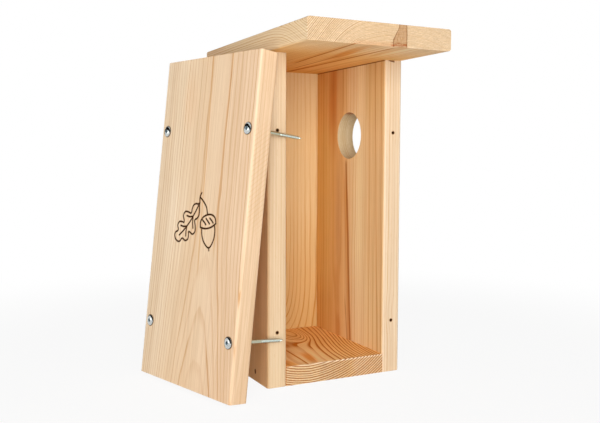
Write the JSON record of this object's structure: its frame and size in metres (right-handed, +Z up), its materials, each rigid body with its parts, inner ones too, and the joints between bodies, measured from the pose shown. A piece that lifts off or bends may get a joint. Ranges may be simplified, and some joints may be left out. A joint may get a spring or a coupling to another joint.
{
  "type": "squirrel house",
  "caption": "Upright wooden nest box with a flat overhanging roof board, a round side entrance, and a screw-on front board taken off and leaning against its side.",
  "frame": {"origin": "centre of the box's footprint, on the ground", "axes": "+Z up, -Y out of the open front, +X towards the side with the entrance"},
  "size_m": [0.2931, 0.294, 0.408],
  "materials": {
    "pale_softwood": "planed, untreated",
    "warm_softwood": "planed, untreated, with more heartwood",
    "zinc_plated_steel": "bright zinc plating",
    "nail_steel": "plain steel"
  },
  "bodies": {
    "box": {"roof_board": "pale_softwood", "left_side_board": "pale_softwood", "right_side_board": "pale_softwood", "back_board": "warm_softwood", "floor_board": "warm_softwood", "floor_nails_left": "nail_steel", "floor_nails_right": "nail_steel", "back_nails_left": "nail_steel", "back_nails_right": "nail_steel", "back_nails_floor": "nail_steel", "roof_nails_left": "nail_steel", "roof_nails_right": "nail_steel", "roof_nails_back": "nail_steel"},
    "front": {"front_board": "pale_softwood"},
    "upper_left_screw": {"front_screw_upper_left": "zinc_plated_steel"},
    "upper_right_screw": {"front_screw_upper_right": "zinc_plated_steel"},
    "lower_left_screw": {"front_screw_lower_left": "zinc_plated_steel"},
    "lower_right_screw": {"front_screw_lower_right": "zinc_plated_steel"}
  },
  "joints": [
    {"name": "front_board_carried_off", "type": "slide", "parent": "box", "child": "front", "axis": [-0.9613, -0.2756, 0], "range_m": [0, 0.15]},
    {"name": "upper_left_screw_out", "type": "slide", "parent": "front", "child": "upper_left_screw", "axis": [-0.9545, -0.2737, 0.1184], "range_m": [0, 0.085]},
    {"name": "upper_right_screw_out", "type": "slide", "parent": "front", "child": "upper_right_screw", "axis": [-0.9545, -0.2737, 0.1184], "range_m": [0, 0.085]},
    {"name": "lower_left_screw_out", "type": "slide", "parent": "front", "child": "lower_left_screw", "axis": [-0.9545, -0.2737, 0.1184], "range_m": [0, 0.085]},
    {"name": "lower_right_screw_out", "type": "slide", "parent": "front", "child": "lower_right_screw", "axis": [-0.9545, -0.2737, 0.1184], "range_m": [0, 0.085]}
  ]
}
